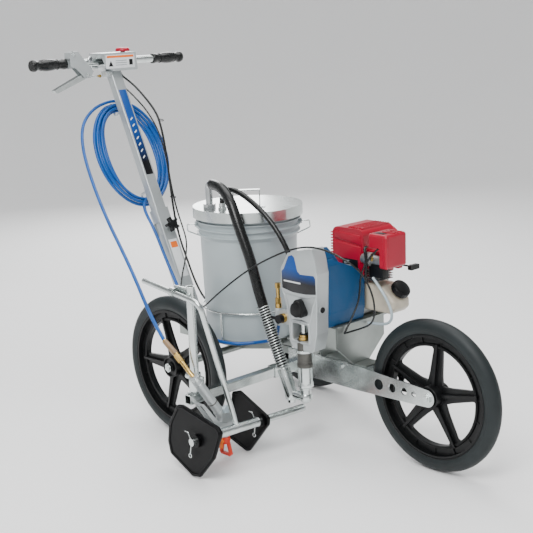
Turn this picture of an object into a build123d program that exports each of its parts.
from build123d import *
import os
from math import atan2, cos, degrees, radians, sin, sqrt, tan

os.makedirs("parts", exist_ok=True)

# Line striping machine: a three-wheeled push frame that carries a pail, an engine-driven
# piston pump and a spray gun between two shields.
# Frame: millimetres, origin on the ground under the middle of the rear axle, in the centre
# plane. +X is forward, +Y is the machine's left, +Z is up.

# ---- driving dimensions ----------------------------------------------------------------
WHEEL_R = 203.2            # 16 inch wheels
TYRE_HALF = 22.5           # half the tyre's width
RIM_R = 163.0              # radius where the tyre sits on the rim
AXLE_Z = WHEEL_R
TRACK_HALF = 272.5         # centre plane to a rear wheel's centre plane
WHEELBASE = 716.0
HUB_HALF = 28.7            # half the hub's length
HUB_R = 30.0
AXLE_R = 8.0
RUNNING = 0.05             # radial running clearance

FORK_IN, FORK_OUT = 30.0, 34.0     # inner and outer face of a fork bar, from the centre plane
RAIL_IN = 25.4                     # inner face of a rear rail
FRAME_TOP = 241.0
FORK_BOTTOM = 172.0
FORK_REAR = 215.0

LEAN = 0.457               # the stem moves this far back for each unit up
STEM_TOP_Z = 1024.0
STEM_W, STEM_D = 41.0, 31.0        # across and along
SLEEVE_W, SLEEVE_D = 50.0, 40.0
SLEEVE_LOW, SLEEVE_TOP = 214.0, 578.0
BAR_X, BAR_Z, BAR_HALF = -614.0, 1049.0, 298.4
BAR_R = 12.0
GRIP_LEN = 125.0

PAIL_X, PAIL_Z = 27.8, 252.0       # pail axis and underside
PAIL_FOOT_R, PAIL_BODY_R, PAIL_RIB_R = 136.0, 143.0, 155.0
LID_R, LID_Z, LID_SKIRT = 161.8, 637.9, 30.0

ARM_X, ARM_Z, ARM_HALF = 230.0, 193.0, 12.7
ARM_NEAR, ARM_FAR = -425.0, -46.0
POST_X, POST_Y, POST_R = 233.0, -400.0, 11.5
POST_TOP = 498.0

PUMP_X, PUMP_Y = 392.0, -146.0     # axis of the pump's rod
HOUSE_FRONT, HOUSE_BACK = -162.0, -117.0
CENTRE_BASE = (Align.CENTER, Align.CENTER, Align.MIN)


def stem_x(z):
    """Centre of the leaning stem at height z."""
    return -570.0 + LEAN * (950.0 - z)


STEM_DIR = Vector(-LEAN, 0, 1).normalized()
STEM_ANGLE = degrees(atan2(LEAN, 1))


def stem_plane(z):
    """Plane square to the stem at height z: local X is +Y, local Y points back and down."""
    return Plane(origin=(stem_x(z), 0, z), x_dir=(0, 1, 0), z_dir=STEM_DIR)


def round_bar(start, end, radius, mode=Mode.ADD):
    """A round bar from start to end, added to the part being built."""
    line = Vector(*end) - Vector(*start)
    with Locations(Plane(origin=start, z_dir=line).location):
        Cylinder(radius, line.length, align=CENTRE_BASE, mode=mode)


def hex_bar(start, end, across, mode=Mode.ADD):
    """A hexagonal bar from start to end, given its width across flats."""
    line = Vector(*end) - Vector(*start)
    with BuildSketch(Plane(origin=start, z_dir=line)) as flats:
        RegularPolygon(across / sqrt(3), 6)
    extrude(flats.sketch, amount=line.length, mode=mode)


def block(x0, x1, y0, y1, z0, z1, mode=Mode.ADD):
    """A box given by its limits."""
    with Locations(((x0 + x1) / 2, (y0 + y1) / 2, (z0 + z1) / 2)):
        Box(x1 - x0, y1 - y0, z1 - z0, mode=mode)


def corner_radii(points, share=0.45):
    """One radius per corner: share of the shorter run, over the tangent of half the turn."""
    radii = []
    for before, here, after in zip(points, points[1:], points[2:]):
        run_in = Vector(*here) - Vector(*before)
        run_out = Vector(*after) - Vector(*here)
        half_turn = radians(run_in.get_angle(run_out)) / 2
        radii.append(share * min(run_in.length, run_out.length) / tan(half_turn))
    return radii


def smooth_path(points, radii):
    """Straight runs through points, joined by tangent arcs."""
    with BuildLine() as route:
        FilletPolyline(*points, radius=radii)
    return route.line


def swept_tube(points, radii, radius, bore=0.0):
    """A round tube along straight runs and arcs, added to the part being built."""
    path = smooth_path(points, radii)
    with BuildSketch(Plane(origin=path @ 0, z_dir=path % 0)) as ring:
        Circle(radius)
        if bore:
            Circle(bore, mode=Mode.SUBTRACT)
    sweep(ring.sketch, path=path)


def save(part, name):
    part.label = name
    export_step(part, "parts/" + name + ".step")


def report_cord(name, points, radius):
    """Prints a hose's arcs and length, for the report."""
    radii = corner_radii(points)
    length = sum(edge.length for edge in smooth_path(points, radii).edges())
    print(f"{name}: length {length:.0f} mm, tightest arc {min(radii):.0f} mm"
          f" = {min(radii) / (2 * radius):.1f} diameters")


# ---- wheels ------------------------------------------------------------------------------
def make_tyre(x, y):
    across = Plane(origin=(x, y, AXLE_Z), x_dir=(0, 1, 0), z_dir=(1, 0, 0))
    with BuildPart() as tyre:
        with BuildSketch(across):
            with BuildLine():
                crown = WHEEL_R
                shoulder = WHEEL_R - 21.0
                Line((-17.5, RIM_R), (17.5, RIM_R))
                Line((17.5, RIM_R), (TYRE_HALF - 0.5, shoulder - 6))
                ThreePointArc((TYRE_HALF - 0.5, shoulder - 6), (TYRE_HALF - 6, WHEEL_R - 8.5), (0, crown))
                ThreePointArc((0, crown), (-TYRE_HALF + 6, WHEEL_R - 8.5), (-TYRE_HALF + 0.5, shoulder - 6))
                Line((-TYRE_HALF + 0.5, shoulder - 6), (-17.5, RIM_R))
            make_face()
        revolve(axis=Axis((x, y, AXLE_Z), (0, 1, 0)))
    return tyre.part


def make_rim(x, y, turn):
    """Moulded wheel: a channel rim, five ribbed spokes and a long hub."""
    across = Plane(origin=(x, y, AXLE_Z), x_dir=(0, 1, 0), z_dir=(1, 0, 0))
    with BuildPart() as rim:
        with BuildSketch(across):
            with BuildLine():
                Polyline((-19, RIM_R), (19, RIM_R), (19, RIM_R - 5), (3.5, RIM_R - 6), (3.5, 141), (9, 139),
                         (9, 133), (-9, 133), (-9, 139), (-3.5, 141), (-3.5, RIM_R - 6), (-19, RIM_R - 5),
                         close=True)
            make_face()
        revolve(axis=Axis((x, y, AXLE_Z), (0, 1, 0)))
        for index in range(5):
            angle = radians(turn + 72 * index)
            spoke = Plane(origin=(x, y, AXLE_Z), x_dir=(cos(angle), 0, sin(angle)), z_dir=(0, -1, 0))
            with BuildSketch(spoke.offset(-4)):
                with BuildLine():
                    Polyline((24, -25), (60, -19), (124, -14), (137, -24), (137, 24), (124, 14), (60, 19),
                             (24, 25), close=True)
                make_face()
            extrude(amount=8)
            with BuildSketch(spoke.offset(-13)):
                with BuildLine():
                    Polyline((20, -4.5), (142, -3), (142, 3), (20, 4.5), close=True)
                make_face()
            extrude(amount=26)
        with Locations(Plane(origin=(x, y - HUB_HALF, AXLE_Z), z_dir=(0, 1, 0)).location):
            Cylinder(HUB_R, 2 * HUB_HALF, align=CENTRE_BASE)
            Cylinder(AXLE_R + RUNNING, 2 * HUB_HALF, align=CENTRE_BASE, mode=Mode.SUBTRACT)
        for face_y, inward in ((y - HUB_HALF, 1), (y + HUB_HALF, -1)):
            with BuildSketch(Plane(origin=(x, face_y, AXLE_Z), x_dir=(1, 0, 0), z_dir=(0, inward, 0))):
                Circle(HUB_R - 4)
                Circle(AXLE_R + 7, mode=Mode.SUBTRACT)
            extrude(amount=5, mode=Mode.SUBTRACT)
    return rim.part


WHEELS = {"front": (WHEELBASE, 0.0, 12.0), "right": (0.0, -TRACK_HALF, 37.0), "left": (0.0, TRACK_HALF, 40.0)}
for wheel, (wheel_x, wheel_y, wheel_turn) in WHEELS.items():
    save(make_tyre(wheel_x, wheel_y), wheel + "_tyre")
    save(make_rim(wheel_x, wheel_y, wheel_turn), wheel + "_rim")

# ---- axles and fasteners -----------------------------------------------------------------
REAR_AXLE_HALF = TRACK_HALF + HUB_HALF + 9.5
FRONT_AXLE_HALF = FORK_OUT + 7.0
with BuildPart() as axle_shafts:
    round_bar((0, -REAR_AXLE_HALF, AXLE_Z), (0, REAR_AXLE_HALF, AXLE_Z), AXLE_R)
    round_bar((WHEELBASE, -FRONT_AXLE_HALF, AXLE_Z), (WHEELBASE, FRONT_AXLE_HALF, AXLE_Z), AXLE_R)
save(axle_shafts.part, "axle_shafts")

RAIL_BOLTS = [(250.0, 229.0), (420.0, 229.0)]
with BuildPart() as hex_fasteners:
    for side in (-1, 1):
        hub_face = side * (TRACK_HALF + HUB_HALF + 0.4)
        hex_bar((0, hub_face, AXLE_Z), (0, hub_face + side * 7, AXLE_Z), 24)
        hex_bar((WHEELBASE, side * FORK_OUT, AXLE_Z), (WHEELBASE, side * (FORK_OUT + 5.5), AXLE_Z), 24)
        round_bar((0, side * (TRACK_HALF + HUB_HALF + 0.4), AXLE_Z),
                  (0, side * REAR_AXLE_HALF, AXLE_Z), AXLE_R, mode=Mode.SUBTRACT)
        round_bar((WHEELBASE, side * FORK_OUT, AXLE_Z),
                  (WHEELBASE, side * FRONT_AXLE_HALF, AXLE_Z), AXLE_R, mode=Mode.SUBTRACT)
        for bolt_x, bolt_z in RAIL_BOLTS:
            hex_bar((bolt_x, side * FORK_OUT, bolt_z), (bolt_x, side * (FORK_OUT + 5), bolt_z), 13)
save(hex_fasteners.part, "hex_fasteners")

# ---- main frame: rails, axle tube, pail platform -------------------------------------------
RAIL_OUTLINE = [(-286, 190), (0, 194), (137, 221), (470, 221), (470, FRAME_TOP), (137, FRAME_TOP),
                (0, 228), (-286, 222)]
AXLE_TUBE_HALF = TRACK_HALF - HUB_HALF - 4
AXLE_TUBE_R = 11.0
PLATFORM_Z = PAIL_Z - 3.0
BASKET_R, BASKET_Z = 146.0, 340.0
BASKET_ANGLES = (-80, 10, 100, 190)
with BuildPart() as main_frame:
    for side in (-1, 1):
        with BuildSketch(Plane.XZ.offset(-side * RAIL_IN)):
            with BuildLine():
                Polyline(*RAIL_OUTLINE, close=True)
            make_face()
        extrude(amount=-side * (FORK_IN - RAIL_IN))
    round_bar((0, -AXLE_TUBE_HALF, AXLE_Z), (0, AXLE_TUBE_HALF, AXLE_Z), AXLE_TUBE_R)
    round_bar((0, -AXLE_TUBE_HALF, AXLE_Z), (0, AXLE_TUBE_HALF, AXLE_Z), AXLE_R, mode=Mode.SUBTRACT)
    for cross_x in (-90.0, 120.0, 300.0):
        block(cross_x - 12, cross_x + 12, -RAIL_IN, RAIL_IN, 224, 228 if cross_x < 0 else FRAME_TOP - 2)
    block(466, 508, -FORK_IN, FORK_IN, FRAME_TOP, FRAME_TOP + 4)
    with Locations((PAIL_X, 0, PLATFORM_Z)):
        Cylinder(118, 3, align=CENTRE_BASE)
    for angle in BASKET_ANGLES:
        arm = Plane(origin=(PAIL_X, 0, PLATFORM_Z), x_dir=(cos(radians(angle)), sin(radians(angle)), 0),
                    z_dir=(0, 0, 1))
        with BuildSketch(arm):
            with Locations((BASKET_R / 2 + 3, 0)):
                Rectangle(BASKET_R + 6, 24)
        extrude(amount=3)
    for leg_x, leg_low in ((-60.0, 224.0), (110.0, 230.0)):
        for side in (-1, 1):
            block(leg_x - 12, leg_x + 12, side * 27.7 - 2.2, side * 27.7 + 2.2, leg_low, PLATFORM_Z)
save(main_frame.part, "main_frame")

# ---- fork bars with the gun arm's receiver --------------------------------------------------
FORK_END_R = 23.5
FORK_HOLES = [(555.0, 15.0), (601.0, 12.0), (641.0, 10.0), (674.0, 8.0)]
RECEIVER_NEAR = -118.0
with BuildPart() as fork_bars:
    for side in (-1, 1):
        inner = Plane.XZ.offset(-side * FORK_IN)
        with BuildSketch(inner):
            with BuildLine():
                Polyline((FORK_REAR, FORK_BOTTOM), (FORK_REAR, FRAME_TOP), (480, FRAME_TOP),
                         (WHEELBASE, AXLE_Z + FORK_END_R), (WHEELBASE, AXLE_Z - FORK_END_R),
                         (480, FORK_BOTTOM), close=True)
            make_face()
            with Locations((WHEELBASE, AXLE_Z)):
                Circle(FORK_END_R)
                Circle(AXLE_R, mode=Mode.SUBTRACT)
            for hole_x, hole_r in FORK_HOLES:
                with Locations((hole_x, AXLE_Z + 2.5)):
                    Circle(hole_r, mode=Mode.SUBTRACT)
        extrude(amount=-side * (FORK_OUT - FORK_IN))
        flange_y = (side * FORK_IN, side * (FORK_IN - 14))
        block(WHEELBASE - 386, 452, min(flange_y), max(flange_y), FORK_BOTTOM, FORK_BOTTOM + 3)
    with BuildSketch(Plane.XZ.offset(FORK_OUT)):
        with Locations((ARM_X, ARM_Z)):
            RectangleRounded(2 * ARM_HALF + 6.6, 2 * ARM_HALF + 6.6, 3)
            Rectangle(2 * ARM_HALF + 0.6, 2 * ARM_HALF + 0.6, mode=Mode.SUBTRACT)
    extrude(amount=-RECEIVER_NEAR - FORK_OUT)
save(fork_bars.part, "fork_bars")

# ---- pail basket, pail, lid, bail ----------------------------------------------------------
with BuildPart() as pail_basket:
    with Locations((PAIL_X, 0, BASKET_Z)):
        Torus(BASKET_R, 3)
    for angle in BASKET_ANGLES:
        foot_x = PAIL_X + BASKET_R * cos(radians(angle))
        foot_y = BASKET_R * sin(radians(angle))
        round_bar((foot_x, foot_y, PAIL_Z), (foot_x, foot_y, BASKET_Z + 1), 3.2)
save(pail_basket.part, "pail_basket")

PAIL_WALL = 2.2
PAIL_TOP = LID_Z - 4.0
RIBS = [(561.0, PAIL_RIB_R - 2), (580.0, PAIL_RIB_R), (598.0, PAIL_RIB_R)]
with BuildPart() as pail:
    with BuildSketch(Plane(origin=(PAIL_X, 0, 0), x_dir=(1, 0, 0), z_dir=(0, -1, 0))):
        with BuildLine():
            outer = [(0, PAIL_Z), (PAIL_FOOT_R - 4, PAIL_Z), (PAIL_FOOT_R, PAIL_Z + 5), (PAIL_BODY_R, 548)]
            for rib_z, rib_r in RIBS:
                outer += [(PAIL_BODY_R + 4, rib_z - 3), (rib_r, rib_z - 2), (rib_r, rib_z + 1),
                          (PAIL_BODY_R + 5, rib_z + 2.5)]
            outer += [(PAIL_BODY_R + 6, PAIL_TOP)]
            inner = [(PAIL_BODY_R + 6 - PAIL_WALL, PAIL_TOP), (PAIL_BODY_R + 4 - PAIL_WALL, 562),
                     (PAIL_BODY_R - PAIL_WALL, 550), (PAIL_FOOT_R - PAIL_WALL, PAIL_Z + 6),
                     (PAIL_FOOT_R - 6, PAIL_Z + 3), (0, PAIL_Z + 3)]
            Polyline(*(outer + inner), close=True)
        make_face()
    revolve(axis=Axis((PAIL_X, 0, 0), (0, 0, 1)))
    for ear_turn in (46.3, 226.3):
        ear = Plane(origin=(PAIL_X, 0, 583), z_dir=(cos(radians(ear_turn)), sin(radians(ear_turn)), 0))
        with Locations(ear.offset(PAIL_RIB_R - 7).location):
            Cylinder(8, 10, align=CENTRE_BASE)
            Cylinder(2.0 + RUNNING, 12, align=CENTRE_BASE, mode=Mode.SUBTRACT)
save(pail.part, "pail")

PICKUP = (-6.0, -118.0)            # where the pickup tube goes through the lid
RETURN_TUBE = (38.0, -108.0)       # where the return tube goes through the lid
STRAP = [(43.0, -71.0), (98.0, -14.0)]
STRAP_TOP = 690.0
with BuildPart() as pail_lid:
    with BuildSketch(Plane.XY.offset(LID_Z - 3)):
        with Locations((PAIL_X, 0)):
            Circle(LID_R)
        for hole_x, hole_y in (PICKUP, RETURN_TUBE):
            with Locations((hole_x, hole_y)):
                Circle(12.5 if hole_x < 0 else 7.0, mode=Mode.SUBTRACT)
    extrude(amount=3)
    with BuildSketch(Plane.XY.offset(LID_Z - LID_SKIRT)):
        with Locations((PAIL_X, 0)):
            Circle(LID_R)
            Circle(LID_R - 1.6, mode=Mode.SUBTRACT)
    extrude(amount=LID_SKIRT - 3)
    strap_run = Vector(STRAP[1][0] - STRAP[0][0], STRAP[1][1] - STRAP[0][1], 0)
    strap_plane = Plane(origin=(STRAP[0][0], STRAP[0][1], LID_Z), x_dir=strap_run,
                        z_dir=strap_run.cross(Vector(0, 0, 1)))
    rise = STRAP_TOP - LID_Z
    with BuildSketch(strap_plane.offset(-9)):
        with BuildLine():
            Polyline((-14, 0), (-14, 2.5), (0, 2.5), (0, rise), (strap_run.length, rise),
                     (strap_run.length, 2.5), (strap_run.length + 14, 2.5), (strap_run.length + 14, 0),
                     (strap_run.length - 3, 0), (strap_run.length - 3, rise - 3), (3, rise - 3), (3, 0),
                     close=True)
        make_face()
    extrude(amount=18)
save(pail_lid.part, "pail_lid")

BAIL_Z = 583.0
BAIL_DROOP = 30.0
EAR_OUT = PAIL_RIB_R + 3.5
ear_line = Vector(cos(radians(46.3)), sin(radians(46.3)), 0)
bail_out = Vector(-sin(radians(46.3)), cos(radians(46.3)), 0)
bail_down = bail_out * cos(radians(BAIL_DROOP)) + Vector(0, 0, -sin(radians(BAIL_DROOP)))


def bail_point(along, out):
    """A point of the bail: along the line of the ears, and out from it."""
    place = Vector(PAIL_X, 0, BAIL_Z) + ear_line * along + bail_down * out
    return (place.X, place.Y, place.Z)


with BuildPart() as pail_bail:
    half_bail = [(-EAR_OUT + 6, 0), (-EAR_OUT - 22, 0), (-EAR_OUT - 26, 60), (-120, 150), (0, 181)]
    bail_points = [bail_point(a, b) for a, b in half_bail]
    bail_points += [bail_point(-a, b) for a, b in reversed(half_bail[:-1])]
    swept_tube(bail_points, [9, 30, 45, 120, 45, 30, 9], 2.0)
save(pail_bail.part, "pail_bail")

# ---- stem, sleeve, handlebar ----------------------------------------------------------------
KNOB_AT = 519.0
with BuildPart() as stem_sleeve:
    low, high = stem_plane(SLEEVE_LOW), stem_plane(SLEEVE_TOP)
    sleeve_length = (high.origin - low.origin).length
    with BuildSketch(low):
        RectangleRounded(SLEEVE_W, SLEEVE_D, 4)
        Rectangle(STEM_W + 1.0, STEM_D + 1.0, mode=Mode.SUBTRACT)
    extrude(amount=sleeve_length)
    knob_face = Plane(origin=(stem_x(KNOB_AT), 0, KNOB_AT),
                      z_dir=(cos(radians(STEM_ANGLE)), 0, sin(radians(STEM_ANGLE))))
    with Locations(knob_face.location):
        Cylinder(9, SLEEVE_D / 2 + 6, align=CENTRE_BASE)
        Cylinder(4.0 + RUNNING, SLEEVE_D / 2 + 12, align=CENTRE_BASE, mode=Mode.SUBTRACT)
        Box(STEM_W + 1.0, STEM_W + 20, STEM_D + 1.0, mode=Mode.SUBTRACT)
save(stem_sleeve.part, "stem_sleeve")

COIL_MID_Z, COIL_OFF = 770.0, 46.0
COIL_LONG, COIL_WIDE, COIL_BAND = 162.0, 112.0, 38.0
HOOK_SPAN = (COIL_LONG - COIL_BAND / 2 - 5.0) * cos(radians(STEM_ANGLE))
HOOKS = ((COIL_MID_Z + HOOK_SPAN, 20.0), (COIL_MID_Z - HOOK_SPAN, -26.0))
HOOK_REACH = 48.0
with BuildPart() as stem_tube:
    low, high = stem_plane(330), stem_plane(STEM_TOP_Z)
    with BuildSketch(low) as stem_ring:
        RectangleRounded(STEM_W, STEM_D, 4)
        RectangleRounded(STEM_W - 5, STEM_D - 5, 2, mode=Mode.SUBTRACT)
    extrude(stem_ring.sketch, amount=(high.origin - low.origin).length)
    for hook_z, tip in HOOKS:
        back = stem_plane(hook_z)
        root = back.from_local_coords(Vector(0, STEM_D / 2 - 1, 0))
        out = back.from_local_coords(Vector(0, STEM_D / 2 + HOOK_REACH, 0))
        end = back.from_local_coords(Vector(0, STEM_D / 2 + HOOK_REACH, tip))
        swept_tube([tuple(root), tuple(out), tuple(end)], [8], 3.5)
save(stem_tube.part, "stem_tube")

KNOB_REACH = 36.0
with BuildPart() as stem_knob:
    knob_out = Plane(origin=knob_face.from_local_coords(Vector(0, 0, KNOB_REACH)), z_dir=knob_face.z_dir)
    with BuildSketch(knob_out):
        Circle(11)
        with PolarLocations(15, 5, start_angle=18):
            SlotOverall(18, 9, rotation=0)
    extrude(amount=15)
    with Locations(knob_face.location):
        Cylinder(4.0, KNOB_REACH + 2, align=CENTRE_BASE)
        Box(STEM_W, STEM_W, STEM_D + 1.4, mode=Mode.SUBTRACT)
save(stem_knob.part, "stem_knob")

with BuildPart() as handlebar:
    round_bar((BAR_X, -BAR_HALF + 3, BAR_Z), (BAR_X, BAR_HALF - 3, BAR_Z), BAR_R)
    round_bar((BAR_X, -BAR_HALF + 3, BAR_Z), (BAR_X, BAR_HALF - 3, BAR_Z), BAR_R - 2.5, mode=Mode.SUBTRACT)
save(handlebar.part, "handlebar")

GRIP_PROFILE = [(0, 15.6), (6, 18.2), (13, 18.2), (19, 15.4), (40, 17.0), (82, 16.6), (108, 14.8),
                (119, 16.6), (GRIP_LEN, 16.2)]
with BuildPart() as hand_grips:
    for side in (-1, 1):
        with BuildSketch(Plane(origin=(BAR_X, side * BAR_HALF, BAR_Z), x_dir=(0, -side, 0), z_dir=(1, 0, 0))):
            with BuildLine():
                rim_line = Spline(*GRIP_PROFILE)
                Polyline((GRIP_LEN, GRIP_PROFILE[-1][1]), (GRIP_LEN, BAR_R + RUNNING), (3, BAR_R + RUNNING),
                         (3, 0), (0, 0), (0, GRIP_PROFILE[0][1]))
            make_face()
        revolve(axis=Axis((BAR_X, 0, BAR_Z), (0, 1, 0)))
save(hand_grips.part, "hand_grips")

BOX_FRONT, BOX_REAR = -560.0, -640.0
BOX_TOP, BOX_BOTTOM = 1077.0, 1019.0
with BuildPart() as control_box:
    with BuildSketch(Plane.YZ.offset(BOX_REAR)):
        with BuildLine():
            Polyline((-64, BOX_TOP), (66, BOX_TOP), (72, BOX_BOTTOM), (-26, BOX_BOTTOM), (-44, 1030), close=True)
        make_face()
    extrude(amount=BOX_FRONT - BOX_REAR)
    fillet(control_box.edges().filter_by(Axis.X), 4)
    offset(amount=-1.8, openings=control_box.faces().sort_by(Axis.X)[0], mode=Mode.REPLACE)
    block(BOX_REAR - 1, BOX_FRONT - 16, -78, 78, BAR_Z - BAR_R - 0.2, BAR_Z + BAR_R + 0.2, mode=Mode.SUBTRACT)
    with BuildSketch(stem_plane(STEM_TOP_Z - 16)):
        Rectangle(STEM_W + 0.6, STEM_D + 0.6)
    extrude(amount=40, mode=Mode.SUBTRACT)
    for post_y in (-14.0, 14.0):
        block(BAR_X - 9, BAR_X + 9, post_y - 4, post_y + 4, BAR_Z + BAR_R, BOX_TOP - 1.8)
    with Locations((-586, 34, BOX_TOP - 4)):
        Cylinder(8.0 + RUNNING, 8, align=CENTRE_BASE, mode=Mode.SUBTRACT)
save(control_box.part, "control_box")

with BuildPart() as kill_switch:
    with Locations((-586, 34, BOX_TOP - 14)):
        Cylinder(8.0, 17, align=CENTRE_BASE)
    with Locations((-586, 34, BOX_TOP + 3)):
        Cylinder(24, 12, align=CENTRE_BASE)
    fillet(kill_switch.edges().group_by(Axis.Z)[-1], 10)
save(kill_switch.part, "kill_switch")

# ---- hand lever ------------------------------------------------------------------------------
LEVER_PIVOT = (-600.0, -112.0, 1010.0)
LEVER_END = (-600.0, -232.0, 965.0)
with BuildPart() as lever_bracket:
    for plate_x in (-588.0, -616.0):
        with BuildSketch(Plane.YZ.offset(plate_x)):
            with BuildLine():
                Polyline((-172, 1084), (-143, 1088), (-86, 1022), (-98, 1002), (-122, 1002), (-150, 1034),
                         (-172, 1040), close=True)
            make_face()
        extrude(amount=3)
    block(-616, -585, -172, -150, 1064, 1084)
    block(-616, -600, -170, -146, 1034, 1064)
    round_bar((BAR_X, -175, BAR_Z), (BAR_X, -80, BAR_Z), BAR_R, mode=Mode.SUBTRACT)
    round_bar((-619, LEVER_PIVOT[1], LEVER_PIVOT[2]), (-581, LEVER_PIVOT[1], LEVER_PIVOT[2]), 3.5)
save(lever_bracket.part, "lever_bracket")

lever_run = Vector(*LEVER_END) - Vector(*LEVER_PIVOT)
with BuildPart() as hand_lever:
    lever_side = Plane(origin=(LEVER_PIVOT[0], LEVER_PIVOT[1], LEVER_PIVOT[2]), x_dir=lever_run, z_dir=(1, 0, 0))
    with BuildSketch(lever_side.offset(-10)):
        with BuildLine():
            Polyline((-9, -8), (-9, 8), (20, 9), (lever_run.length - 6, 7), (lever_run.length, 2),
                     (lever_run.length, -5), (24, -9), close=True)
        make_face()
    extrude(amount=20)
    with BuildSketch(lever_side.offset(-8)):
        with BuildLine():
            Polyline((-7, -6), (-7, 12), (lever_run.length - 4, 12), (lever_run.length - 4, -2.5), (24, -6.5),
                     close=True)
        make_face()
    extrude(amount=16, mode=Mode.SUBTRACT)
    round_bar((-611, LEVER_PIVOT[1], LEVER_PIVOT[2]), (-589, LEVER_PIVOT[1], LEVER_PIVOT[2]), 3.5 + RUNNING,
              mode=Mode.SUBTRACT)
save(hand_lever.part, "hand_lever")

# ---- pump and motor -----------------------------------------------------------------------------
HOUSE_OUTLINE = [(397, 572), (443, 582), (452, 556), (460, 516), (457, 420), (454, 353), (442, 304),
                 (432, 299), (366, 299), (352, 318), (349, 374), (342, 415), (326, 458), (325, 515),
                 (352, 560)]
KNOB_X, KNOB_Z = 400.0, 416.0
MANIFOLD_X, MANIFOLD_Y = 280.0, -130.0
VALVE_X, VALVE_Z = 310.0, 370.0
NIPPLE = (273.5, -125.5, 342.1)
ROD_R = 7.0
WINDOW_LOW, WINDOW_HIGH = 326.0, 372.0
CYL_R = 19.5
CYL_TOP, CYL_LOW = WINDOW_LOW, 250.0
with BuildPart() as gear_housing:
    with BuildSketch(Plane.XZ.offset(-HOUSE_BACK)):
        with BuildLine():
            Polyline(*HOUSE_OUTLINE, close=True)
        make_face()
    extrude(amount=HOUSE_BACK - HOUSE_FRONT)
    fillet(gear_housing.edges().filter_by(Axis.Y), 5)
    fillet(gear_housing.faces().sort_by(Axis.Y)[0].edges(), 2.5)
    block(366, 424, HOUSE_FRONT - 1, HOUSE_FRONT + 36, WINDOW_LOW, WINDOW_HIGH, mode=Mode.SUBTRACT)
    round_bar((PUMP_X, PUMP_Y, 290), (PUMP_X, PUMP_Y, WINDOW_LOW), CYL_R, mode=Mode.SUBTRACT)
    round_bar((PUMP_X, PUMP_Y, WINDOW_HIGH - 1), (PUMP_X, PUMP_Y, 428), 13 + RUNNING, mode=Mode.SUBTRACT)
    round_bar((KNOB_X, HOUSE_FRONT - 1, KNOB_Z), (KNOB_X, HOUSE_FRONT + 2, KNOB_Z), 6 + RUNNING,
              mode=Mode.SUBTRACT)
    round_bar((452, -144, 418), (462, -144, 418), 5.5, mode=Mode.SUBTRACT)
    block(MANIFOLD_X, 352, -140, -122, 352, 388)
    round_bar((MANIFOLD_X, MANIFOLD_Y, 352), (MANIFOLD_X, MANIFOLD_Y, 392), 11)
    round_bar((MANIFOLD_X, MANIFOLD_Y, 354), (273.7, -125.7, 342.6), 6)
save(gear_housing.part, "gear_housing")

with BuildPart() as pressure_knob:
    with BuildSketch(Plane.XZ.offset(-HOUSE_FRONT + 2)):
        with Locations((KNOB_X, KNOB_Z)):
            RegularPolygon(40, 3, rotation=90)
        fillet(vertices(), 13)
    extrude(amount=18)
    fillet(pressure_knob.faces().sort_by(Axis.Y)[0].edges(), 4)
    round_bar((KNOB_X, HOUSE_FRONT - 3, KNOB_Z), (KNOB_X, HOUSE_FRONT + 1.7, KNOB_Z), 6)
save(pressure_knob.part, "pressure_knob")

COVER_OUTLINE = [(454, 360), (460, 400), (460, 530), (452, 546), (352, 546), (340, 530), (334, 500),
                 (336, 420), (348, 360)]
COVER_END = 23.0
with BuildPart() as motor_cover:
    with BuildSketch(Plane.XZ.offset(-HOUSE_BACK)):
        with BuildLine():
            Polyline(*COVER_OUTLINE, close=True)
        make_face()
    extrude(amount=HOUSE_BACK - COVER_END)
    with BuildSketch(Plane.YZ.offset(320)):
        with BuildLine():
            Polyline((-90, 600), (-90, 541), (0, 504), (COVER_END, 472), (40, 472), (40, 600), close=True)
        make_face()
    extrude(amount=160, mode=Mode.SUBTRACT)
    fillet(motor_cover.edges().filter_by(Axis.Y), 6)
    with BuildSketch(Plane.XZ.offset(-HOUSE_BACK)):
        with BuildLine():
            Polyline((366, 530), (384, 566), (398, 569), (440, 578), (449, 553), (450, 530), close=True)
        make_face()
    extrude(amount=HOUSE_BACK + 66)
    with BuildSketch(Plane.YZ.offset(320)):
        with BuildLine():
            Polyline((-102, 600), (-102, 580), (-66, 531), (-50, 531), (-50, 600), close=True)
        make_face()
    extrude(amount=160, mode=Mode.SUBTRACT)
save(motor_cover.part, "motor_cover")

with BuildPart() as prime_valve:
    round_bar((MANIFOLD_X, MANIFOLD_Y, 392), (MANIFOLD_X, MANIFOLD_Y, 404), 9)
    hex_bar((MANIFOLD_X, MANIFOLD_Y, 404), (MANIFOLD_X, MANIFOLD_Y, 420), 15)
    round_bar((MANIFOLD_X, MANIFOLD_Y, 420), (MANIFOLD_X, MANIFOLD_Y, 448), 5.5)
    hex_bar((MANIFOLD_X, MANIFOLD_Y, 448), (MANIFOLD_X, MANIFOLD_Y, 462), 14)
    round_bar((VALVE_X, -140, VALVE_Z), (VALVE_X, -150, VALVE_Z), 13)
    round_bar((VALVE_X, -141, VALVE_Z), (VALVE_X, -151, VALVE_Z), 4 + RUNNING, mode=Mode.SUBTRACT)
save(prime_valve.part, "prime_valve")

with BuildPart() as prime_handle:
    round_bar((VALVE_X, -141.4, VALVE_Z), (VALVE_X, -156, VALVE_Z), 4)
    round_bar((VALVE_X, -150.4, VALVE_Z), (VALVE_X, -163, VALVE_Z), 12)
    round_bar((VALVE_X, -157, VALVE_Z), (VALVE_X - 30, -157, VALVE_Z), 4.5)
save(prime_handle.part, "prime_handle")

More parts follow.
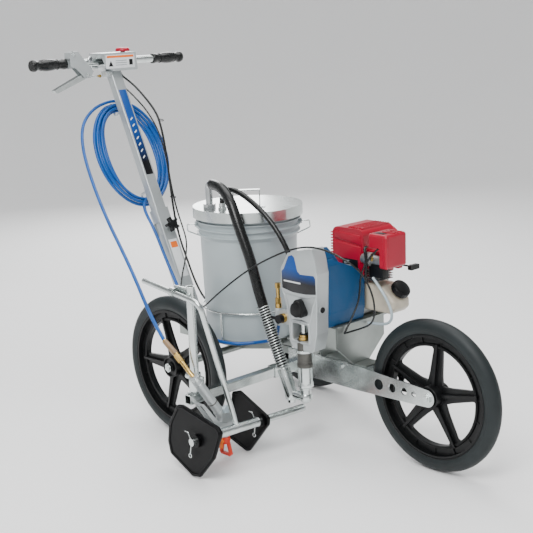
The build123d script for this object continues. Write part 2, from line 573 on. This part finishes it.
with BuildPart() as packing_nut:
    round_bar((PUMP_X, PUMP_Y, WINDOW_LOW), (PUMP_X, PUMP_Y, WINDOW_LOW + 8), 15.5)
    round_bar((PUMP_X, PUMP_Y, WINDOW_LOW + 8), (PUMP_X, PUMP_Y, WINDOW_LOW + 14), 13)
    round_bar((PUMP_X, PUMP_Y, WINDOW_LOW), (PUMP_X, PUMP_Y, WINDOW_LOW + 14), ROD_R + RUNNING,
              mode=Mode.SUBTRACT)
save(packing_nut.part, "packing_nut")

with BuildPart() as pump_cylinder:
    round_bar((PUMP_X, PUMP_Y, CYL_TOP), (PUMP_X, PUMP_Y, CYL_LOW), CYL_R)
    round_bar((PUMP_X, PUMP_Y, 298.9), (PUMP_X, PUMP_Y, 291), 23)
    round_bar((PUMP_X, PUMP_Y, 259), (PUMP_X, PUMP_Y, CYL_LOW), 21.5)
    round_bar((PUMP_X, PUMP_Y, CYL_TOP), (PUMP_X, PUMP_Y, CYL_LOW + 3), ROD_R + RUNNING, mode=Mode.SUBTRACT)
save(pump_cylinder.part, "pump_cylinder")

STROKE = 30.0
with BuildPart() as piston_rod:
    round_bar((PUMP_X, PUMP_Y, CYL_LOW + 5), (PUMP_X, PUMP_Y, WINDOW_HIGH + 10), ROD_R)
    round_bar((PUMP_X, PUMP_Y, WINDOW_HIGH - 2), (PUMP_X, PUMP_Y, WINDOW_HIGH + 22), 13)
save(piston_rod.part, "piston_rod")

INLET_Z = 161.0
with BuildPart() as intake_valve:
    round_bar((PUMP_X, PUMP_Y, CYL_LOW), (PUMP_X, PUMP_Y, 205), 20)
    with Locations((PUMP_X, PUMP_Y, 205)):
        Cone(16, 20, 20, align=(Align.CENTER, Align.CENTER, Align.MAX))
    round_bar((PUMP_X, PUMP_Y, 190), (PUMP_X, PUMP_Y, INLET_Z), 14)
    with Locations((PUMP_X, PUMP_Y, INLET_Z + 2)):
        Sphere(17.5)
    round_bar((PUMP_X, PUMP_Y, INLET_Z), (360, PUMP_Y, INLET_Z), 12)
save(intake_valve.part, "intake_valve")

# ---- suction and drain lines ----------------------------------------------------------------------
ELBOW_TOP = 710.0
SUCTION_ROUTE = [(12, -121.5, ELBOW_TOP), (45, -128, ELBOW_TOP), (84, -137, 698), (116, -143.5, 670),
                 (140, -149, 632), (162, -151, 588), (198, -151, 516), (232, -150, 405), (306, -147.1, 232)]
SUCTION_RADII = corner_radii(SUCTION_ROUTE)[:-1] + [200]
SPRING_TOP, SPRING_LOW = (236.7, -149.8, 394), (309, -147, 225)
HOSE_R = 15.0
with BuildPart() as suction_elbow:
    swept_tube([(PICKUP[0] + 10, PICKUP[1] + 28, 262), (PICKUP[0], PICKUP[1], 600),
                (PICKUP[0], PICKUP[1], ELBOW_TOP), (11.6, -121.42, ELBOW_TOP)], [60, 12], 10.0)
    hex_bar((PICKUP[0], PICKUP[1], LID_Z), (PICKUP[0], PICKUP[1], LID_Z + 14), 32)
    with Locations((PICKUP[0] + 10, PICKUP[1] + 28, 258)):
        Cylinder(17, 26, align=CENTRE_BASE)
save(suction_elbow.part, "suction_elbow")

with BuildPart() as suction_hose:
    swept_tube(SUCTION_ROUTE, SUCTION_RADII, HOSE_R)
save(suction_hose.part, "suction_hose")

with BuildPart() as spring_guard:
    round_bar(SPRING_TOP, SPRING_LOW, 17.5)
    round_bar(SUCTION_ROUTE[-2], SPRING_LOW, HOSE_R + 0.02, mode=Mode.SUBTRACT)
save(spring_guard.part, "spring_guard")

with BuildPart() as suction_tube:
    round_bar((309.12, -147, 224.7), (337, -145.5, 158), 17.5)
    with Locations((337, -145.5, 158)):
        Sphere(17.5)
    round_bar((337, -145.5, 160), (337, -145.5, 136), 12)
    round_bar((337, PUMP_Y, INLET_Z), (360, PUMP_Y, INLET_Z), 11)
save(suction_tube.part, "suction_tube")

DRAIN_ROUTE = [(38, -108, 655), (38, -107, 684), (62, -105, 700), (100, -100, 694), (146, -96, 672),
               (187, -92, 645), (223, -88, 613), (256, -84, 572), (280, -80, 528), (290, -80, 488)]
with BuildPart() as drain_hose:
    swept_tube(DRAIN_ROUTE, corner_radii(DRAIN_ROUTE), 7.5)
    round_bar((38, -108, 655), (38, -108, 637.9), 8.5)
    round_bar((38, -108, 640), (38, -108, 560), 5)
    round_bar((290, -80, 500), (293, -80, 470), 9.5)
    round_bar((293, -80, 474), (330, -100, 474), 5.5)
save(drain_hose.part, "drain_hose")

# ---- engine -----------------------------------------------------------------------------------------
SHELF_Z = 355.0
with BuildPart() as engine_bracket:
    with BuildSketch(Plane.YZ.offset(460.4)):
        with BuildLine():
            Polyline((-96, 358), (-96, 300), (-30, FRAME_TOP), (30, FRAME_TOP), (96, 300), (96, 358),
                     close=True)
        make_face()
    extrude(amount=4.6)
    with BuildSketch(Plane.YZ.offset(340)):
        with BuildLine():
            Polyline((-60, SHELF_Z), (-60, 300), (-30, FRAME_TOP), (30, FRAME_TOP), (60, 300), (60, SHELF_Z),
                     close=True)
        make_face()
    extrude(amount=4)
    block(340, 465, -96, 150, SHELF_Z, SHELF_Z + 5)
    block(440, 465, -29, 29, FRAME_TOP, FRAME_TOP + 4)
save(engine_bracket.part, "engine_bracket")

SHROUD_X0, SHROUD_X1, SHROUD_Y0, SHROUD_Y1 = 345.0, 457.0, 24.0, 150.0
BLOCK_TOP, SHROUD_TOP = 470.0, 604.0
RECOIL_Z, RECOIL_Y = 486.0, 163.0
with BuildPart() as engine_block:
    block(SHROUD_X0, 440, SHROUD_Y0, 148, SHELF_Z + 5, BLOCK_TOP)
    fillet(engine_block.edges().filter_by(Axis.Y), 8)
save(engine_block.part, "engine_block")

with BuildPart() as engine_shroud:
    block(SHROUD_X0, SHROUD_X1, SHROUD_Y0, SHROUD_Y1, BLOCK_TOP, SHROUD_TOP)
    fillet(engine_shroud.edges().filter_by(Axis.Y).group_by(Axis.Z)[-1], 18)
    fillet(engine_shroud.edges().filter_by(Axis.Y).group_by(Axis.Z)[0], 5)
    round_bar((415, SHROUD_Y1 - 1, 535), (415, 172, 535), 60)
    block(385, 470, 155, 172, 476, 496)
    round_bar((380, RECOIL_Y, RECOIL_Z), (475, RECOIL_Y, RECOIL_Z), 3.0, mode=Mode.SUBTRACT)
save(engine_shroud.part, "engine_shroud")

with BuildPart() as air_cleaner:
    block(500, 566, -8, 76, 514, 606)
    fillet(air_cleaner.edges(), 8)
    block(499, 541, -9, 42, 513, 569, mode=Mode.SUBTRACT)
    block(SHROUD_X1, 545, 44, 64, 520, 545)
save(air_cleaner.part, "air_cleaner")

with BuildPart() as fuel_tank:
    with BuildSketch(Plane.XZ.offset(-40)):
        with BuildLine():
            Polyline((440, 378), (532, 378), (546, 392), (546, 414), (508, 452), (440, 456), close=True)
        make_face()
    extrude(amount=-72)
    fillet(fuel_tank.edges(), 9)
    round_bar((522, 80, 425), (534, 80, 437), 16)
save(fuel_tank.part, "fuel_tank")

CAP_START, CAP_END = (534.4, 80, 437.4), (546, 80, 449)
with BuildPart() as fuel_cap:
    round_bar(CAP_START, CAP_END, 26)
    fillet(fuel_cap.edges().sort_by(Axis((534, 80, 437), (1, 0, 1)))[-1], 3)
save(fuel_cap.part, "fuel_cap")

with BuildPart() as recoil_handle:
    round_bar((505, RECOIL_Y, RECOIL_Z), (523, RECOIL_Y, RECOIL_Z), 5.5)
    block(512, 523, RECOIL_Y - 19, RECOIL_Y + 19, RECOIL_Z - 7, RECOIL_Z + 7)
    fillet(recoil_handle.edges().filter_by(Axis.X), 4)
    round_bar((385, RECOIL_Y, RECOIL_Z), (506, RECOIL_Y, RECOIL_Z), 2.5)
save(recoil_handle.part, "recoil_handle")

# ---- gun arm, post, gun ----------------------------------------------------------------------------
with BuildPart() as gun_arm:
    with BuildSketch(Plane.XZ.offset(-ARM_FAR)):
        with Locations((ARM_X, ARM_Z)):
            RectangleRounded(2 * ARM_HALF, 2 * ARM_HALF, 2)
            Rectangle(2 * ARM_HALF - 4, 2 * ARM_HALF - 4, mode=Mode.SUBTRACT)
    extrude(amount=ARM_FAR - ARM_NEAR)
save(gun_arm.part, "gun_arm")

CLIP = (184.0, -420.0, 479.0)
LEVER_R = 7.5
with BuildPart() as gun_post:
    round_bar((POST_X, POST_Y, ARM_Z + ARM_HALF), (POST_X, POST_Y, POST_TOP), POST_R)
    round_bar((POST_X, POST_Y, ARM_Z + ARM_HALF + 3), (POST_X, POST_Y, POST_TOP), POST_R - 2,
              mode=Mode.SUBTRACT)
    block(POST_X - 16, POST_X + 16, POST_Y - 16, POST_Y + 16, ARM_Z + ARM_HALF, ARM_Z + ARM_HALF + 4)
    block(CLIP[0] - 10, POST_X - 8, -408, -404, 462, 494)
    round_bar((CLIP[0], -409, CLIP[2]), (CLIP[0], -403, CLIP[2]), 4 + RUNNING, mode=Mode.SUBTRACT)
    for bolt_x in (196.0, 210.0):
        hex_bar((bolt_x, -408, 468), (bolt_x, -412, 468), 9)
save(gun_post.part, "gun_post")

GUN_X = 270.0
GUN_TAIL, GUN_HEAD = (GUN_X, -436, 270), (GUN_X, -345, 138)
GUN_R = 13.0
BARREL_Y = -335.0
with BuildPart() as spray_gun:
    round_bar(GUN_TAIL, GUN_HEAD, GUN_R)
    with Locations(GUN_HEAD):
        Sphere(GUN_R)
    block(GUN_X - 13, GUN_X + 13, BARREL_Y - 20, BARREL_Y + 16, 92, 146)
    round_bar((GUN_X, BARREL_Y, 92), (GUN_X, BARREL_Y, 74), 9)
    round_bar((GUN_X - 28, BARREL_Y + 7, 132), (GUN_X - 12, BARREL_Y + 7, 132), 8)
    round_bar((GUN_X - 18, BARREL_Y - 12, 112), (GUN_X + 18, BARREL_Y - 12, 112), 3 + RUNNING,
              mode=Mode.SUBTRACT)
save(spray_gun.part, "spray_gun")

TRIGGER_PIVOT = (GUN_X, BARREL_Y - 12, 112)
with BuildPart() as gun_trigger:
    with BuildSketch(Plane.YZ.offset(GUN_X + 13.5)):
        with BuildLine():
            Polyline((-338, 104), (-338, 118), (-352, 122), (-372, 132), (-418, 192), (-424, 188), (-380, 124),
                     (-352, 104), close=True)
        make_face()
    extrude(amount=3)
    with BuildSketch(Plane.YZ.offset(GUN_X - 16.5)):
        with BuildLine():
            Polyline((-338, 104), (-338, 118), (-352, 122), (-372, 132), (-418, 192), (-424, 188), (-380, 124),
                     (-352, 104), close=True)
        make_face()
    extrude(amount=3)
    round_bar((GUN_X - 16.5, -420, 188.5), (GUN_X + 16.5, -420, 188.5), 3.4)
    round_bar((GUN_X - 17.5, TRIGGER_PIVOT[1], 112), (GUN_X + 17.5, TRIGGER_PIVOT[1], 112), 3)
save(gun_trigger.part, "gun_trigger")

with BuildPart() as gun_holder:
    block(POST_X + 8, GUN_X - 2, POST_Y - 3, POST_Y + 3, 218, 258)
    round_bar((POST_X, POST_Y, 214), (POST_X, POST_Y, 262), POST_R + 4.5)
    round_bar((POST_X, POST_Y, 214), (POST_X, POST_Y, 262), POST_R, mode=Mode.SUBTRACT)
    round_bar((POST_X - 30, POST_Y, 250), (POST_X - 14, POST_Y, 250), 9)
    round_bar(GUN_TAIL, GUN_HEAD, GUN_R, mode=Mode.SUBTRACT)
save(gun_holder.part, "gun_holder")

GUARD_TOP, GUARD_LOW = 70.0, 22.0
with BuildPart() as tip_guard:
    with BuildSketch(Plane.XZ.offset(-BARREL_Y + 4)):
        with BuildLine():
            Polyline((GUN_X - 11, GUARD_TOP), (GUN_X + 11, GUARD_TOP), (GUN_X + 23, GUARD_LOW + 6),
                     (GUN_X + 17, GUARD_LOW), (GUN_X - 17, GUARD_LOW), (GUN_X - 23, GUARD_LOW + 6), close=True)
        make_face()
        with BuildLine():
            Polyline((GUN_X - 7, 56), (GUN_X + 7, 56), (GUN_X + 15, GUARD_LOW + 7), (GUN_X - 15, GUARD_LOW + 7),
                     close=True)
        make_face(mode=Mode.SUBTRACT)
    extrude(amount=-8)
    round_bar((GUN_X, BARREL_Y, 56), (GUN_X, BARREL_Y, 73.9), 12)
    round_bar((GUN_X, BARREL_Y - 20, 64), (GUN_X, BARREL_Y + 20, 64), 6 + RUNNING, mode=Mode.SUBTRACT)
save(tip_guard.part, "tip_guard")

with BuildPart() as spray_tip:
    round_bar((GUN_X, BARREL_Y - 20, 64), (GUN_X, BARREL_Y + 13, 64), 6)
    block(GUN_X - 4, GUN_X + 4, BARREL_Y - 21, BARREL_Y - 13.2, 46, 82)
save(spray_tip.part, "spray_tip")

# ---- shields ------------------------------------------------------------------------------------------
ROD_Z = 110.0
ROD_RADIUS = 10.5
ROD_NEAR, ROD_FAR = -482.0, -106.0   # the rod's ends
SHIELD_PLANES = (-461.0, -252.0)
SHIELD_T = 9.0


def rod_x(y):
    """Where the shields' rod stands at y."""
    return 305.0 + 0.0957 * (y + 478.0)


T_POINT = (rod_x(-334), -334.0, ROD_Z)
LEVER_ROUTE = [(62, -420, 491), (291, -420, 465.5), T_POINT]
lever_line = Vector(*LEVER_ROUTE[1]) - Vector(*LEVER_ROUTE[0])
with BuildPart() as shield_carrier:
    round_bar((rod_x(ROD_NEAR), ROD_NEAR, ROD_Z), (rod_x(ROD_FAR), ROD_FAR, ROD_Z), ROD_RADIUS)
    round_bar((rod_x(-392), -392, ROD_Z), (rod_x(-268), -268, ROD_Z), ROD_RADIUS + 2.5)
    swept_tube(LEVER_ROUTE, [30], LEVER_R)
    ring = Plane(origin=CLIP, z_dir=lever_line)
    with Locations(ring.offset(-8).location):
        Cylinder(11.5, 16, align=CENTRE_BASE)
    round_bar((CLIP[0], -415, CLIP[2]), (CLIP[0], -402, CLIP[2]), 4)
save(shield_carrier.part, "shield_carrier")

NEAR_OUTLINE = [(-81, 78), (-118, 20), (-128, -34), (-120, -68), (-32, -108), (0, -103), (60, -36),
                (94, 42), (80, 56), (-60, 82)]
FAR_OUTLINE = [(-119, 54), (-88, 64), (26, 14), (24, -8), (-56, -104), (-70, -108), (-138, -88)]
for shield_name, shield_y, shape in (("right_shield", SHIELD_PLANES[0], NEAR_OUTLINE),
                                     ("left_shield", SHIELD_PLANES[1], FAR_OUTLINE)):
    with BuildPart() as shield:
        with BuildSketch(Plane.XZ.offset(-shield_y)):
            with BuildLine():
                Polyline(*[(rod_x(shield_y) + x, ROD_Z + z) for x, z in shape], close=True)
            make_face()
        extrude(amount=-SHIELD_T)
        fillet(shield.edges().filter_by(Axis.Y), 11)
        fillet(shield.edges().filter_by(lambda edge: edge.length > 20), 2.5)
        round_bar((rod_x(shield_y - 8), shield_y - 8, ROD_Z), (rod_x(shield_y + 14), shield_y + 14, ROD_Z), 17)
        round_bar((rod_x(ROD_NEAR), ROD_NEAR, ROD_Z), (rod_x(ROD_FAR), ROD_FAR, ROD_Z), ROD_RADIUS, mode=Mode.SUBTRACT)
    save(shield.part, shield_name)

with BuildPart() as hairpin_clips:
    for pin_y in (SHIELD_PLANES[0] - 11, SHIELD_PLANES[1] - 11):
        pin_x = rod_x(pin_y) - ROD_RADIUS
        swept_tube([(pin_x - 26, pin_y, ROD_Z + 20), (pin_x - 14, pin_y, ROD_Z + 20), (pin_x - 1.6, pin_y, ROD_Z),
                    (pin_x - 8, pin_y, ROD_Z - 40)], [5, 12], 1.5)
        with Locations((pin_x - 9, pin_y, ROD_Z - 44)):
            Torus(5, 1.5, rotation=(90, 0, 0))
save(hairpin_clips.part, "hairpin_clips")

# ---- hoses and cables -----------------------------------------------------------------------------------
PAINT_R = 5.0
SWIVEL_TOP = (153, -433, 344)
PAINT_ROUTE = [(-605, 16, 914), (-602, -36, 918), (-594, -92, 902), (-577, -146, 864), (-527.5, -190, 816),
               (-448.6, -235, 761), (-338, -285, 692.5), (-240, -325, 636), (-165, -352, 592),
               (-85, -377, 543), (-8, -398, 484), (43, -412, 437.5), (97, -424, 386), SWIVEL_TOP]
with BuildPart() as paint_hose:
    swept_tube(PAINT_ROUTE, corner_radii(PAINT_ROUTE), PAINT_R)
save(paint_hose.part, "paint_hose")
report_cord("paint_hose", PAINT_ROUTE, PAINT_R)

RETURN_ROUTE = [(-452, 14, 622), (-436, -37, 588), (-379, -37, 520), (-333, -37, 436), (-288, -37, 366),
                (-235, -50, 310), (-165, -82, 274), (-85, -118, 262), (-10, -148, 259), (60, -163, 259),
                (115, -144, 258), (146, -106, 259), (186, -92, 268), (228, -98, 284), (254, -112, 307),
                NIPPLE]
with BuildPart() as hose_return:
    swept_tube(RETURN_ROUTE, corner_radii(RETURN_ROUTE), PAINT_R)
save(hose_return.part, "hose_return")
report_cord("hose_return", RETURN_ROUTE, PAINT_R)

with BuildPart() as hose_swivel:
    round_bar((154.2, -433.2, 343.1), (208, -436, 314), 7)
    hex_bar((206, -436, 315), (226, -436.2, 301), 15)
    swept_tube([(222, -436.2, 304), (256, -436.4, 279), (GUN_X, GUN_TAIL[1] + 2, GUN_TAIL[2] - 3)], [7], 6)
    round_bar(GUN_TAIL, GUN_HEAD, GUN_R + 0.01, mode=Mode.SUBTRACT)
save(hose_swivel.part, "hose_swivel")

with BuildPart() as hose_coil:
    flat = stem_plane(COIL_MID_Z)
    centre = flat.from_local_coords(Vector(3, COIL_OFF, 0))
    oval = Plane(origin=centre, x_dir=(0, 1, 0), z_dir=flat.y_dir)
    with BuildLine(oval) as loop:
        EllipticalCenterArc((0, 0), COIL_WIDE, COIL_LONG, start_angle=0, arc_size=360)
    start = Plane(origin=loop.line @ 0, x_dir=oval.x_dir, z_dir=loop.line % 0)
    with BuildSketch(start) as bundle:
        SlotOverall(COIL_BAND, 22)
    sweep(bundle.sketch, path=loop.line)
save(hose_coil.part, "hose_coil")

BOX_CABLES = [(-596, 24, 1017.4), (-592, 26, 1003), (-572, 29, 992), (-523, 33, 965), (-442, 33, 904), (-410, 33, 862),
              (-386, 33, 768), (-370, 33, 617), (-358, 34, 540), (-338, 34, 477), (-314, 34, 428),
              (-278, 34, 356), (-239, 36, 301), (-175, 40, 262), (-95, 41, 240), (10, 41, 238),
              (88, 43, 239), (152, 46, 240), (210, 54, 266), (258, 64, 322), (300, 70, 376), (322, 72, 399),
              (344.8, 72, 400)]
GUN_CABLE = [(-628, -18, 1018), (-624, -14, 1004), (-612, 6, 984), (-588, 32, 964), (-545, 43, 930),
             (-484, 44, 886), (-428, 43, 822), (-397, 42, 740), (-378, 42, 640), (-362, 46, 570),
             (-338, 46, 520), (-310, 38, 476), (-284, 8, 430), (-252, -38, 384), (-214, -76, 348),
             (-158, -110, 324), (-110, -130, 318), (-20, -158, 340), (80, -174, 410), (214, -178, 499),
             (342, -178, 562), (428, -175, 590), (487, -168, 590), (546, -156, 572), (590, -132, 536),
             (606, -112, 480), (604, -100, 430), (585, -90, 392), (540, -80, 368), (470, -72, 340)]
with BuildPart() as control_cables:
    swept_tube(BOX_CABLES, corner_radii(BOX_CABLES), 3.5)
    swept_tube(GUN_CABLE, corner_radii(GUN_CABLE), 2.5)
save(control_cables.part, "control_cables")
